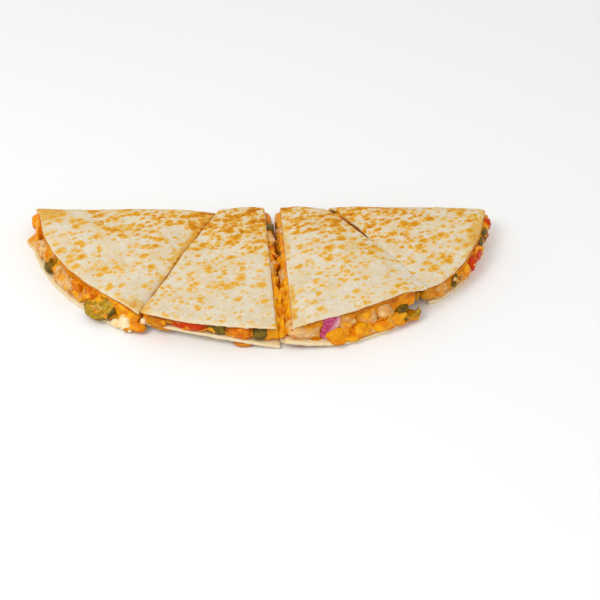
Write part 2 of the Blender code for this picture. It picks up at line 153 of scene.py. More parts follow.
def speckle(tree, place, size, detail=2.0, rough=0.5, bend=0.0):
    """Noise from 0 to 1 whose lumps are about this size in metres."""
    settings = {"Vector": place, "Scale": 1 / size, "Detail": detail, "Roughness": rough, "Distortion": bend}
    return put(tree, "ShaderNodeTexNoise", settings).outputs["Fac"]


def blisters(tree, place, size, wobble):
    """Islands about one size apart, from low between them to 0.8 in the middle of the strongest, each with its own strength."""
    noisy = put(tree, "ShaderNodeTexNoise", {"Vector": place, "Scale": 1 / (0.5 * size), "Detail": 1.5}).outputs["Color"]
    pushed = put(tree, "ShaderNodeVectorMath", {0: noisy, 1: (0.5, 0.5, 0.5)}, operation="SUBTRACT").outputs[0]
    pushed = put(tree, "ShaderNodeVectorMath", {0: pushed, 1: (wobble,) * 3, 2: place}, operation="MULTIPLY_ADD").outputs[0]
    cells = put(tree, "ShaderNodeTexVoronoi", {"Vector": pushed, "Scale": 1 / size})
    strength = put(tree, "ShaderNodeSeparateColor", {"Color": cells.outputs["Color"]}).outputs["Red"]
    weak = sum_of(tree, "MULTIPLY", strength, 0.22)
    return sum_of(tree, "SUBTRACT", 0.8, sum_of(tree, "ADD", sum_of(tree, "MULTIPLY", cells.outputs["Distance"], 0.25), weak))


def drawn_out(tree, place, angle, factors):
    """The place turned about the vertical, then scaled, so that a pattern on it is longer one way."""
    turned = put(tree, "ShaderNodeMapping", {"Vector": place, "Rotation": (0, 0, angle)}).outputs["Vector"]
    return put(tree, "ShaderNodeVectorMath", {0: turned, 1: factors}, operation="MULTIPLY").outputs[0]


def over(tree, share, below, above, blend="MIX"):
    """The colour above laid over the colour below, by share."""
    return put(tree, "ShaderNodeMix", {0: share, 6: below, 7: above}, data_type="RGBA", blend_type=blend).outputs[2]


def mark(tree, name):
    """What painted() stored on the piece's points."""
    return put(tree, "ShaderNodeAttribute", attribute_name=name).outputs["Fac"]


def shade(red, green, blue):
    """A colour as a screen shows it, from 0 to 255, for a socket."""
    return (*[(c / 255 / 12.92 if c <= 10 else ((c / 255 + 0.055) / 1.055) ** 2.4) for c in (red, green, blue)], 1.0)


def new_finish(name, roughness, **constants):
    """A material with an empty Principled shader, and the place on the piece that its patterns read."""
    finish = bpy.data.materials.new(name)
    finish.use_nodes = True
    tree = finish.node_tree
    shader = tree.nodes["Principled BSDF"]
    shader.inputs["Roughness"].default_value = roughness
    for socket, value in constants.items():
        shader.inputs[socket.replace("_", " ")].default_value = value
    place = put(tree, "ShaderNodeTexCoord").outputs["Object"]
    return finish, tree, shader, place


def relief(tree, shader, height, depth, strength=1.0, under=None):
    """Bumps that far deep, from height, over another set of bumps."""
    inputs = {"Height": height, "Distance": depth, "Strength": strength}
    if under is not None:
        inputs["Normal"] = under
    made = put(tree, "ShaderNodeBump", inputs)
    tree.links.new(made.outputs["Normal"], shader.inputs["Normal"])
    return made.outputs["Normal"]


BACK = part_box("tortilla_2")[1].y
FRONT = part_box("tortilla_3")[0].y
LEFT_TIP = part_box("tortilla_1")[0].x
RIGHT_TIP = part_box("tortilla_4")[1].x
MIDDLE_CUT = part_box("tortilla_3")[0].x
SECOND_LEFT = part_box("tortilla_2")[0].x
WHITE_BLOB_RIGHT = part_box("white_cheese_1g")[1].x
DISC_MIDDLE = BACK + 5.5 * MM
LEFT_CUT = (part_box("tortilla_1")[1].x - 1 * MM, SECOND_LEFT, FRONT + 13 * MM)
RIGHT_CUT = (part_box("tortilla_4")[0].x + 4.5 * MM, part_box("tortilla_3")[1].x, FRONT + 38 * MM)


def beside_cut(p, cut):
    """How far right of a slanting cut this place lies. A cut is its x at the fold, its x and y at the rim."""
    at_fold, at_rim, rim_y = cut
    slope = (at_rim - at_fold) / (rim_y - BACK)
    return (p.x - at_fold - slope * (p.y - BACK)) / math.hypot(1, slope)


def toasting_and_cut_shade(p):
    """How hard this place was toasted. The griddle was hottest under the middle of the fold. Beside the left cut it
    adds a painted shade band on the first wedge's side, stronger towards the fold, where that edge dips into the cut.
    """
    toward_fold = (p.y - FRONT) / (BACK - FRONT)
    heat = 0.15 + 0.56 * eased(0.0, 1.0, toward_fold)
    heat -= 0.12 * (1 - eased(-4 * MM, 4 * MM, beside_cut(p, LEFT_CUT)))
    heat += 0.20 * near_point(p, LEFT_TIP + 110 * MM, BACK - 14 * MM, 34 * MM)
    heat += 0.22 * near_point(p, MIDDLE_CUT - 28 * MM, BACK - 20 * MM, 44 * MM)
    heat += 0.05 * near_point(p, MIDDLE_CUT + 22 * MM, BACK - 14 * MM, 34 * MM)
    heat += 0.16 * near_point(p, MIDDLE_CUT + 62 * MM, BACK - 18 * MM, 34 * MM)
    heat -= 0.22 * near_point(p, LEFT_TIP, BACK - 30 * MM, 60 * MM)
    heat -= 0.22 * near_point(p, RIGHT_TIP - 14 * MM, BACK - 26 * MM, 62 * MM)
    # Painted shade: a brown band on the first wedge's edge where it dips into the left cut, stronger towards the fold.
    heat += 0.26 * (1 - eased(0, 6 * MM, abs(beside_cut(p, LEFT_CUT) + 3 * MM))) * eased(0.25, 0.8, toward_fold)
    heat += 0.16 * noise.noise(p / (24 * MM))
    return min(max(heat, -0.2), 1.05)


def is_inside(p, n):
    """1 on the face of the sheet that lies against the filling, which never touched the griddle."""
    return eased(0.1, 0.5, n.z) if p.z < 9 * MM else eased(0.1, 0.5, -n.z)


def closed(number, p):
    """How far the top sheets of the third and fourth wedge have sunk together here: their cut opens at the fold only."""
    if number < 3:
        return 0.0
    close = 1 - eased(0, 16 * MM, abs(beside_cut(p, RIGHT_CUT)))
    return close * eased(5 * MM, 13 * MM, p.z) * (1 - eased(BACK - 62 * MM, BACK - 34 * MM, p.y))


def stain_and_cut_shade(number, p, from_edge):
    """Where melted cheese has run out over the tortilla and stained it. The band beside the left cut, stronger towards
    the fold, is partly that stain and partly painted shade where the edges dip into the cut.
    """
    stain = 0.0
    if number == 1:
        stain = 1.5 * near_point(p, LEFT_TIP, BACK - 5 * MM, 34 * MM)
        stain = max(stain, 0.7 * near_point(p, WHITE_BLOB_RIGHT, FRONT + 22 * MM, 16 * MM))
    if number == 2:
        stain = 0.55 * near_point(p, SECOND_LEFT, FRONT + 18 * MM, 14 * MM)
    # Beside the cuts: an orange-brown band, partly grease stain and partly painted shade where the edges dip into the
    # cut; the third and fourth wedges replace it with their own stain below.
    cut, wide = (LEFT_CUT, 8 * MM) if number == 1 else (LEFT_CUT, 4 * MM) if number == 2 else (RIGHT_CUT, 4.5 * MM)
    cut_band_strength = 0.30 + 0.75 * eased(FRONT + 30 * MM, BACK - 30 * MM, p.y)
    stain = max(stain, cut_band_strength * (1 - closed(number, p)) * (1 - eased(0.2 * MM, wide, abs(beside_cut(p, cut)))))
    if number == 3:
        along_cut = eased(-6 * MM, 0, MIDDLE_CUT + 7.5 * MM - p.x - 0.06 * (p.y - BACK))
        patchy = 0.5 + 0.9 * noise.noise(Vector((0.3, p.y / (13 * MM), 0.7)))
        stain = 0.95 * patchy * along_cut * (1 - eased(0.8 * MM, 6 * MM, from_edge))
    if number == 4:
        stain = 0.85 * near_point(p, RIGHT_TIP - 10 * MM, BACK - 40 * MM, 36 * MM) * (1 - eased(1 * MM, 10 * MM, from_edge))
    return stain


def tortilla_finish():
    finish, tree, shader, place = new_finish("toasted_flour_tortilla", 0.62, Subsurface_Weight=0.05, Specular_IOR_Level=0.12)
    shader.inputs["Subsurface Radius"].default_value = (0.0030, 0.0018, 0.0008)
    heat, grease, crumb, inside = (mark(tree, name) for name in ("toasted", "grease", "crumb", "inside"))
    cloudy = speckle(tree, place, 17 * MM, 3, 0.55)
    dough = over(tree, fade(tree, cloudy, 0.35, 0.68), shade(223, 211, 187), shade(218, 199, 164))
    floury = fade(tree, speckle(tree, place, 2.6 * MM, 4, 0.65), 0.48, 0.66)
    dough = over(tree, sum_of(tree, "MULTIPLY", floury, 0.6), dough, shade(233, 225, 209))
    pitted = fade(tree, speckle(tree, place, 1.8 * MM, 3, 0.6), 0.46, 0.32)
    dough = over(tree, sum_of(tree, "MULTIPLY", pitted, 0.45), dough, shade(208, 186, 146))
    dough = over(tree, sum_of(tree, "MULTIPLY", inside, 0.8), dough, shade(240, 219, 166))
    patchy = sum_of(tree, "MULTIPLY", sum_of(tree, "SUBTRACT", speckle(tree, place, 6 * MM, 3, 0.6), 0.5), 1.8)
    # The grease mark holds the stains and, beside the left cut, painted shade, laid as an orange tint.
    smear = fade(tree, sum_of(tree, "ADD", grease, patchy), 0.30, 0.90)
    smear = sum_of(tree, "MULTIPLY", smear, fade(tree, grease, 0.02, 0.25))
    oiled = fade(tree, sum_of(tree, "ADD", grease, patchy), 0.0, 0.6)
    oiled = sum_of(tree, "MULTIPLY", oiled, fade(tree, grease, 0.0, 0.3))
    dough = over(tree, oiled, dough, shade(255, 236, 182), "MULTIPLY")
    dough = over(tree, smear, dough, shade(250, 204, 78), "MULTIPLY")
    # Browned blisters: big ones in clusters, small ones between them, each browner towards its middle.
    longer = drawn_out(tree, place, -0.6, (0.74, 1.05, 1.0))
    moved = put(tree, "ShaderNodeMapping", {"Vector": longer, "Location": (0.31, 0.17, 0.05)}).outputs["Vector"]
    big = blisters(tree, longer, 4.9 * MM, 2.6 * MM)
    small = blisters(tree, moved, 3.0 * MM, 1.6 * MM)
    both = sum_of(tree, "MAXIMUM", big, sum_of(tree, "SUBTRACT", small, 0.03))
    grit = sum_of(tree, "MULTIPLY", sum_of(tree, "SUBTRACT", speckle(tree, place, 2.2 * MM, 2, 0.6), 0.5), 0.22)
    patches = sum_of(tree, "MULTIPLY", sum_of(tree, "SUBTRACT", speckle(tree, place, 14 * MM, 1), 0.5), 0.22)
    both = sum_of(tree, "ADD", sum_of(tree, "ADD", both, grit), patches)
    # The toasted mark holds the toasting and, beside the left cut, a painted shade band.
    limit = put(tree, "ShaderNodeMapRange", {"Value": heat, "From Min": -2.0, "To Min": 1.005, "To Max": 0.520}).outputs["Result"]
    above = sum_of(tree, "SUBTRACT", both, limit)
    warmth = fade(tree, above, -0.10, 0.015)
    dough = over(tree, sum_of(tree, "MULTIPLY", warmth, 0.5), dough, shade(231, 192, 116))
    colour = over(tree, fade(tree, above, -0.01, 0.045), dough, shade(228, 174, 66))
    browned = sum_of(tree, "MULTIPLY", above, sum_of(tree, "ADD", fade(tree, heat, -0.2, 1.1), 0.35))
    colour = over(tree, fade(tree, browned, 0.03, 0.12), colour, shade(216, 142, 8))
    colour = over(tree, fade(tree, browned, 0.12, 0.24), colour, shade(190, 108, 0))
    colour = over(tree, sum_of(tree, "MULTIPLY", crumb, 0.6), colour, shade(232, 212, 172))
    tree.links.new(colour, shader.inputs["Base Color"])
    glossy = put(tree, "ShaderNodeMapRange", {"Value": smear, "To Min": 0.66, "To Max": 0.36}).outputs["Result"]
    tree.links.new(glossy, shader.inputs["Roughness"])
    pores = relief(tree, shader, speckle(tree, place, 1.6 * MM, 3, 0.6), 0.22 * MM, 0.8)
    bubbled = relief(tree, shader, fade(tree, both, 0.45, 0.75), 0.30 * MM, 0.8, under=pores)
    relief(tree, shader, cloudy, 0.9 * MM, 0.7, under=bubbled)
    return finish


def at_open_edge(p):
    """0 beside the two narrow cuts, where the edges browned and greased like the face, with painted shade beside the
    left cut, and 1 at every other edge.
    """
    return min(eased(2.5 * MM, 6 * MM, abs(beside_cut(p, cut))) for cut in (LEFT_CUT, RIGHT_CUT))


tortilla_look = tortilla_finish()
for number in (1, 2, 3, 4):
    node = f"tortilla_{number}"
    wedge = cast_from(node, f"folded_{node}")
    shaped(wedge, "REMESH", mode="VOXEL", voxel_size=0.8 * MM, use_smooth_shade=True)
    shaped(wedge, "SMOOTH", factor=0.5, iterations=5)

    def blistered(p, n):
        """The top sheet waves a little over the filling; the skin has low blisters where it toasted."""
        meet = closed(number, p)
        loose = eased(5 * MM, 13 * MM, p.z)
        wave = 0.75 * MM * noise.noise(p / (26 * MM)) + 0.40 * MM * noise.noise(p / (11 * MM))
        puff = 0.30 * MM * max(0.0, noise.noise(p / (6.5 * MM))) ** 0.8
        moved = p + Vector((0, 0, loose * wave)) + n * puff * (0.3 + 0.7 * loose)
        if number in (3, 4):
            side = 1 if number == 3 else -1
            moved += Vector((3.6 * MM * meet * side, 0, -1.9 * MM * meet * side))
        if number == 1 and p.z < 5 * MM:
            moved.x -= 3.2 * MM * near_point(p, LEFT_TIP, BACK - 22 * MM, 11 * MM)
        if number == 2 and p.z > 8 * MM:
            out = math.hypot(p.x, DISC_MIDDLE - p.y)
            moved.z += 1.6 * MM * eased(118 * MM, 141 * MM, out) * (1 - 0.6 * eased(-25 * MM, 5 * MM, p.x))
        if number == 3 and p.z < 5 * MM:
            moved.x -= 3.8 * MM * near_point(p, MIDDLE_CUT + 3 * MM, FRONT + 10 * MM, 26 * MM)
        if number == 3 and p.z > 9 * MM:
            rucked = near_point(p, MIDDLE_CUT + 24 * MM, FRONT + 30 * MM, 26 * MM)
            across = (p.y - 0.45 * p.x) / (7.5 * MM) + 0.8 * noise.noise(p / (14 * MM))
            moved.z += 0.95 * MM * rucked * math.sin(across * math.tau * 0.5)
        moved.z = max(moved.z, 0.0)
        return moved

    reworked(wedge, blistered)
    skin = [v.co.copy() for v in wedge.data.vertices]
    sides = [n.vector.copy() for n in wedge.data.vertex_normals]
    inside = [is_inside(p, n) for p, n in zip(skin, sides)]
    cut = [p for p, n in zip(skin, sides) if abs(n.z) < 0.45 and not (abs(n.y) > 0.6 and p.y > BACK - 22 * MM)]
    rim = KDTree(len(cut))
    for at, p in enumerate(cut):
        rim.insert(p, at)
    rim.balance()
    distance = [rim.find(p)[2] for p in skin]
    for name, values in (
        ("toasted", [toasting_and_cut_shade(p) - 2 * i for p, i in zip(skin, inside)]),
        ("inside", inside),
        ("grease", [stain_and_cut_shade(number, p, d) for p, d in zip(skin, distance)]),
        ("crumb", [(1 - eased(0.1 * MM, 0.9 * MM, d)) * at_open_edge(p) for p, d in zip(skin, distance)]),
    ):
        layer = wedge.data.attributes.new(name, "FLOAT", "POINT")
        layer.data.foreach_set("value", values)
    wedge.data.materials.append(tortilla_look)
    only(wedge)
    bpy.ops.object.shade_smooth()
    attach(wedge, "root")
    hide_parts(node)

# The melted cheddar, which runs through each wedge, holds the filling and swells out of the rim and the cuts.
# It set round every lump as it cooled, so it climbs up their sides, and here and there it ran over the rim.


def lumps_of(number):
    """The CAD nodes of the lumps in one wedge, such as chicken_1a."""
    return sorted(n for n in frame["nodes"] if len(n.split("_")[-1]) == 2 and n.split("_")[-1][0] == str(number))


def blob(x, y, z, sizes, turn=0.0):
    """A soft drop of cheese to be melted into the rest: its middle, its three widths, its turn on the table."""
    bpy.ops.object.select_all(action="DESELECT")
    bpy.ops.mesh.primitive_ico_sphere_add(subdivisions=3, radius=0.5)
    drop = bpy.context.active_object
    drop.data.transform(Matrix.Translation((x, y, z)) @ Matrix.Rotation(turn, 4, "Z") @ Matrix.Diagonal((*sizes, 1)))
    return drop


def outward(node):
    """The way from the middle of the fold to this lump, level."""
    low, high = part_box(node)
    return Vector(((low.x + high.x) / 2, (low.y + high.y) / 2 - BACK, 0)).normalized()


def edge_of_cheese_blobs(number, seed):
    """Cheese that has oozed between the lumps at the rim, one blob beside each lump."""
    chance = random.Random(seed)
    middle = Vector((0, BACK - 5.5 * MM, 0))
    made = []
    for name in lumps_of(number):
        low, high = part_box(name)
        centre = (low + high) / 2
        out = Vector((centre.x - middle.x, centre.y - middle.y, 0)).normalized()
        if name in ("pepper_2e", "chicken_2f", "tomato_2g", "chicken_2h"):
            out = Vector((1, 0, 0))
        if name in ("chicken_3k", "chicken_3l"):
            out = Vector((-1, 0, 0))
        along = Vector((-out.y, out.x, 0))
        half = (high - low) / 2
        reach = abs(out.x) * half.x + abs(out.y) * half.y
        width = abs(along.x) * half.x + abs(along.y) * half.y
        signs = {"pepper_3h": (), "white_cheese_1g": (-1,)}.get(name, (1,) if number == 3 else (-1, 1))
        for sign in signs:
            at = centre + along * sign * width * 1.0 + out * (reach * chance.uniform(-0.6, -0.05))
            z = low.z + (high.z - low.z) * chance.uniform(0.25, 0.6)
            sizes = [c * MM for c in (chance.uniform(5, 8), chance.uniform(5, 7), chance.uniform(6, 10))]
            made.append(blob(at.x, at.y, z, sizes, math.atan2(along.y, along.x)))
    return made


def cheese_finish():
    finish, tree, shader, place = new_finish("melted_cheddar", 0.3, Subsurface_Weight=0.08, Specular_IOR_Level=0.16)
    shader.inputs["Subsurface Radius"].default_value = (0.0045, 0.0022, 0.0006)
    hollow = mark(tree, "hollow")
    body = speckle(tree, place, 7 * MM, 3, 0.55, 0.4)
    fine = speckle(tree, place, 2.2 * MM, 3, 0.6)
    colour = over(tree, fade(tree, body, 0.36, 0.66), shade(226, 130, 0), shade(242, 176, 4))
    # Painted highlight: pale yellow flecks where a fine noise runs high.
    colour = over(tree, sum_of(tree, "MULTIPLY", fade(tree, fine, 0.54, 0.68), 0.35), colour, shade(246, 196, 56))
    # Painted shade: darker orange-brown in the creases of the skin.
    colour = over(tree, sum_of(tree, "MULTIPLY", fade(tree, hollow, 0.02, 0.7), 0.85), colour, shade(184, 76, 0))
    # Painted shade: darker red-brown where the tortillas keep the light off the cheese and close to the table.
    colour = over(tree, sum_of(tree, "MULTIPLY", mark(tree, "deep"), 0.85), colour, shade(158, 66, 0))
    tree.links.new(colour, shader.inputs["Base Color"])
    oily = put(tree, "ShaderNodeMapRange", {"Value": fine, "From Min": 0.3, "From Max": 0.7, "To Min": 0.22, "To Max": 0.48}).outputs["Result"]
    tree.links.new(oily, shader.inputs["Roughness"])
    lumpy = relief(tree, shader, body, 0.6 * MM, 0.6)
    relief(tree, shader, fine, 0.18 * MM, 0.8, under=lumpy)
    return finish


def hollows(piece, reach=8):
    """Stores on each point how far it lies in a crease of the skin, by how much smoothing would lift it, for the cheese
    to be painted darker there as painted shade.
    """
    twin = piece.copy()
    twin.data = piece.data.copy()
    bpy.context.scene.collection.objects.link(twin)
    shaped(twin, "SMOOTH", factor=0.5, iterations=reach)
    lifted = [a.co - b.co for a, b in zip(twin.data.vertices, piece.data.vertices)]
    values = [min(max(d.dot(n.vector) / (0.35 * MM), 0.0), 1.0) for d, n in zip(lifted, piece.data.vertex_normals)]
    bpy.data.objects.remove(twin)
    layer = piece.data.attributes.new("hollow", "FLOAT", "POINT")
    layer.data.foreach_set("value", values)
    return piece


def skin_of(*pieces):
    """All these pieces as one surface that a ray can hit."""
    points, faces = [], []
    for piece in pieces:
        first = len(points)
        points += [v.co for v in piece.data.vertices]
        faces += [[first + k for k in face.vertices] for face in piece.data.polygons]
    return BVHTree.FromPolygons(points, faces)


SKY_WAYS = [Vector((math.cos(turn) * flat, math.sin(turn) * flat, rise)).normalized() for flat, rise, turn in
            ((0, 1, 0), (1, 1, -1.57), (1, 1, -2.6), (1, 1, -0.5), (1, 0.45, -1.57), (1, 0.45, -3.1), (1, 0.45, 0), (1, 1, 1.57))]


def painted_shade_under_roof(piece, roof):
    """Stores on each point a painted shade for the cheese: how much of the light from above and in front the tortillas
    keep from it, more close to the table, and less in the middle cut and at the left tip.
    """
    layer = piece.data.attributes.new("deep", "FLOAT", "POINT")
    values = []
    for v, n in zip(piece.data.vertices, piece.data.vertex_normals):
        start = v.co + n.vector * 0.5 * MM
        hits = sum(roof.ray_cast(start, way, 25 * MM)[0] is not None for way in SKY_WAYS)
        in_cut = 1 - eased(5 * MM, 9 * MM, abs(v.co.x - MIDDLE_CUT - 0.5 * MM))
        in_cut = max(in_cut, 1.4 * near_point(v.co, LEFT_TIP, BACK - 10 * MM, 18 * MM))
        values.append((1 - 0.55 * in_cut) * max(eased(0.1, 0.8, hits / len(SKY_WAYS)), 0.6 * (1 - eased(1.5 * MM, 6 * MM, v.co.z))))
    layer.data.foreach_set("value", values)


roof = skin_of(*[bpy.data.objects[f"folded_tortilla_{number}"] for number in (1, 2, 3, 4)])


def side_of(node, furthest):
    """The straight cut side of a node, as a function that turns y into x. furthest is max for its right side."""
    points = [v.co for v in frame["nodes"][node].data.vertices]
    at_fold = furthest(p.x for p in points if p.y > BACK - 8 * MM)
    at_rim = furthest(p.x for p in points if p.y < FRONT + 16 * MM)
    return lambda y: at_fold + (at_rim - at_fold) * (BACK - y) / (BACK - FRONT)


def drips(number):
    """Where cheese ran out past the rim, one by one: each drop's middle and its widths."""
    made = []
    if number == 1:
        low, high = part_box("white_cheese_1g")
        made.append(blob(high.x - 1 * MM, low.y + 4 * MM, 7.5 * MM, (6 * MM, 5 * MM, 10 * MM)))
        made.append(blob(low.x + 5 * MM, low.y + 0.8 * MM, 2.6 * MM, (4 * MM, 4.5 * MM, 4 * MM)))
        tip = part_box("tortilla_1")[0].x
        for step in range(6):
            made.append(blob(tip + (5.2 + 0.3 * step) * MM, BACK - (9.5 + 4 * step) * MM, 8.8 * MM, (4 * MM, 12 * MM, (15 - 0.5 * step) * MM)))
        chance = random.Random(61)
        for bearing in range(-71, -27, 4):
            angle = math.radians(bearing)
            reach = (144.5 + chance.uniform(-1.0, 1.5)) * MM
            at = (reach * math.sin(angle), DISC_MIDDLE - reach * math.cos(angle), chance.uniform(3.6, 5.2) * MM)
            made.append(blob(*at, (chance.uniform(9, 14) * MM, chance.uniform(6, 9) * MM, chance.uniform(4, 7) * MM), angle))
    if number == 2:
        for step in range(11):
            y = BACK - (15 + 9 * step) * MM
            x = LEFT_CUT[0] + (LEFT_CUT[1] - LEFT_CUT[0]) * (BACK - y) / (BACK - LEFT_CUT[2])
            made.append(blob(x, y, 9.5 * MM, (4.5 * MM, 17 * MM, 8 * MM), -0.38))
        low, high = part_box("tortilla_2")
        made.append(blob(low.x + 5 * MM, -46.5 * MM, 10 * MM, (9 * MM, 6 * MM, 7 * MM), -0.3))
        made.append(blob(low.x + 13 * MM, -51.5 * MM, 4.5 * MM, (16 * MM, 4 * MM, 3 * MM), -0.25))
        made.append(blob(low.x + 9 * MM, low.y + 17.5 * MM, 9.5 * MM, (15 * MM, 7 * MM, 9 * MM), -0.4))
        made.append(blob(-8 * MM, low.y + 4.2 * MM, 1.8 * MM, (13 * MM, 6 * MM, 3 * MM), -0.1))
        made.append(blob(high.x - 9 * MM, low.y + 6 * MM, 8 * MM, (10 * MM, 6 * MM, 9 * MM)))
    if number in (2, 3):
        chance = random.Random(70 + number)
        furthest, sign = (max, 1) if number == 2 else (min, -1)
        side = side_of(f"tortilla_{number}", furthest)
        for step in range(9):
            y = BACK - (14 + 14 * step + chance.uniform(-3, 3)) * MM
            x = side(y) + sign * chance.uniform(-0.6, 1.4) * MM
            sizes = (chance.uniform(4.5, 7) * MM, chance.uniform(11, 19) * MM, chance.uniform(8, 13) * MM)
            made.append(blob(x, y, chance.uniform(6, 12) * MM, sizes, chance.uniform(-0.2, 0.2)))
    if number == 3:
        chance = random.Random(7)
        for bearing in (15, 19, 24, 29, 33.5):
            angle = math.radians(bearing)
            at = (138 * MM * math.sin(angle), DISC_MIDDLE - 138 * MM * math.cos(angle), (13.5 + 0.10 * bearing) * MM)
            made.append(blob(*at, (15 * MM, 9 * MM, 8 * MM), angle))
        for bearing, reach, z, tall in ((11, 140.5, 3.4, 3), (14.5, 141.5, 3.4, 3), (22.5, 142.5, 6, 8)):
            angle = math.radians(bearing)
            at = (reach * MM * math.sin(angle), DISC_MIDDLE - reach * MM * math.cos(angle), z * MM)
            made.append(blob(*at, (11 * MM, 7 * MM, tall * MM), angle))
        for bearing in (20, 24, 28.5, 33, 37.5, 41):
            angle = math.radians(bearing)
            reach = (146.5 + chance.uniform(-2, 1.5)) * MM
            sizes = (chance.uniform(10, 16) * MM, chance.uniform(8, 11) * MM, chance.uniform(3, 4.5) * MM)
            made.append(blob(reach * math.sin(angle), DISC_MIDDLE - reach * math.cos(angle), 3.4 * MM, sizes, angle))
    if number == 4:
        for step in range(6):
            y = BACK - (13 + 7 * step) * MM
            x = RIGHT_CUT[0] - 3.2 * MM + (RIGHT_CUT[1] - RIGHT_CUT[0]) * (BACK - y) / (BACK - RIGHT_CUT[2])
            made.append(blob(x, y, 11.5 * MM, (6 * MM, 15 * MM, 9 * MM), 0.5))
        low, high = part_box("tomato_4d")
        made.append(blob(low.x - 1 * MM, low.y - 3 * MM, 8 * MM, (13 * MM, 12 * MM, 12 * MM), 0.9))
    return made


cheese_look = cheese_finish()
cheese_pieces = {}
for number in (1, 2, 3, 4):
    node = f"cheese_{number}"
    cheese = cast_from(node, f"melted_{node}")
    hugged = [cast_from(name, "core") for name in lumps_of(number) if name != "pepper_ring_3j"]
    for core in hugged:
        shaped(core, "DISPLACE", strength=-0.5 * MM, mid_level=0.0)
    only(cheese, *hugged, *edge_of_cheese_blobs(number, 40 + number), *drips(number))
    bpy.ops.object.join()
    shaped(cheese, "REMESH", mode="VOXEL", voxel_size=0.65 * MM, use_smooth_shade=True)
    shaped(cheese, "SMOOTH", factor=0.5, iterations=14)

    def oozed(p, n):
        """The skin of the cheese is lumpy, and swells a little to meet the tortilla."""
        level = 0.25 + 0.40 * noise.noise(p / (7 * MM)) + 0.22 * noise.noise(p / (2.6 * MM))
        if abs(n.x) > 0.5 and number in (2, 3):
            level += 1.3 * noise.noise(p / (5 * MM))
        if abs(n.z) > 0.8:
            level = 0.30
        moved = p + n * level * MM
        moved.z = max(moved.z, 0.4 * MM)
        return moved

    reworked(cheese, oozed)
    hollows(cheese)
    painted_shade_under_roof(cheese, roof)
    cheese.data.materials.append(cheese_look)
    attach(cheese, "root")
    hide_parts(node)
    cheese_pieces[number] = cheese

# The grilled chicken, torn and cut into lumps: pale tan, stringy along the grain, moist, browned at corners.
# Melted cheese clings to parts of every lump, so the same film is laid over the other fillings too.


def cheese_film():
    """A node group: where a thin film of melted cheese covers a filling, and its colour there."""
    group = bpy.data.node_groups.new("cheese_film", "ShaderNodeTree")
    group.interface.new_socket("Place", in_out="INPUT", socket_type="NodeSocketVector")
    group.interface.new_socket("Lump Size", in_out="INPUT", socket_type="NodeSocketFloat")
    group.interface.new_socket("Cover", in_out="INPUT", socket_type="NodeSocketFloat")
    group.interface.new_socket("Mask", in_out="OUTPUT", socket_type="NodeSocketFloat")
    group.interface.new_socket("Oil", in_out="OUTPUT", socket_type="NodeSocketFloat")
    group.interface.new_socket("Color", in_out="OUTPUT", socket_type="NodeSocketColor")
    given = group.nodes.new("NodeGroupInput")
    result = group.nodes.new("NodeGroupOutput")
    scale = sum_of(group, "DIVIDE", 1.0, given.outputs["Lump Size"])
    streaks = put(group, "ShaderNodeTexNoise", {"Vector": given.outputs["Place"], "Scale": scale, "Detail": 1.5, "Distortion": 0.4}).outputs["Fac"]
    cover = sum_of(group, "ADD", given.outputs["Cover"], sum_of(group, "MULTIPLY", mark(group, "sunk"), 0.6))
    limit = sum_of(group, "SUBTRACT", 0.70, sum_of(group, "MULTIPLY", cover, 0.30))
    mask = fade(group, sum_of(group, "SUBTRACT", streaks, limit), -0.09, 0.14)
    oil = sum_of(group, "MULTIPLY", fade(group, sum_of(group, "SUBTRACT", streaks, limit), -0.35, 0.02), 0.8)
    tint = over(group, fade(group, streaks, 0.45, 0.75), shade(226, 132, 4), shade(240, 172, 24))
    group.links.new(mask, result.inputs["Mask"])
    group.links.new(oil, result.inputs["Oil"])
    group.links.new(tint, result.inputs["Color"])
    return group


film = cheese_film()


def filmed(tree, place, colour, size, cover):
    """Lays the film over a colour. Returns the new colour and the film's mask."""
    laid = put(tree, "ShaderNodeGroup", node_tree=film)
    tree.links.new(place, laid.inputs["Place"])
    laid.inputs["Lump Size"].default_value = size
    laid.inputs["Cover"].default_value = cover
    oiled = over(tree, laid.outputs["Oil"], colour, shade(255, 222, 150), "MULTIPLY")
    return over(tree, laid.outputs["Mask"], oiled, laid.outputs["Color"]), laid.outputs["Mask"]


def along_grain(piece, angle):
    """Stores each point's place in the lump's own grain: x runs along the fibres. The angle is on the table."""
    centre = sum((v.co for v in piece.data.vertices), Vector()) / len(piece.data.vertices)
    turn = Matrix.Rotation(-angle, 3, "Z")
    layer = piece.data.attributes.new("grain", "FLOAT_VECTOR", "POINT")
    flat = [c for v in piece.data.vertices for c in turn @ (v.co - centre)]
    layer.data.foreach_set("vector", flat)
    return turn, centre


def hacked(piece, seed, planes, depth):
    """Cuts a few flat facets off a rounded lump, as a knife or a tear leaves it. The depth is a share of its reach."""
    chance = random.Random(seed)
    centre = sum((v.co for v in piece.data.vertices), Vector()) / len(piece.data.vertices)
    only(piece)
    bpy.ops.object.mode_set(mode="EDIT")
    for _ in range(planes):
        way = Vector((chance.gauss(0, 1), chance.gauss(0, 1), chance.gauss(0, 0.6))).normalized()
        bpy.ops.object.mode_set(mode="OBJECT")
        reach = max((v.co - centre).dot(way) for v in piece.data.vertices)
        bpy.ops.object.mode_set(mode="EDIT")
        bpy.ops.mesh.select_all(action="SELECT")
        at = centre + way * reach * chance.uniform(*depth)
        bpy.ops.mesh.bisect(plane_co=at, plane_no=way, use_fill=True, clear_outer=True)
    bpy.ops.object.mode_set(mode="OBJECT")
    return piece


def sunk_in(piece, skin):
    """Stores how close each point lies to the skin of the cheese that holds the piece."""
    layer = piece.data.attributes.new("sunk", "FLOAT", "POINT")
    gaps = [skin.find_nearest(v.co)[3] for v in piece.data.vertices]
    layer.data.foreach_set("value", [1 - eased(0.2 * MM, 1.5 * MM, gap) for gap in gaps])


cheese_skins = {str(number): skin_of(piece) for number, piece in cheese_pieces.items()}


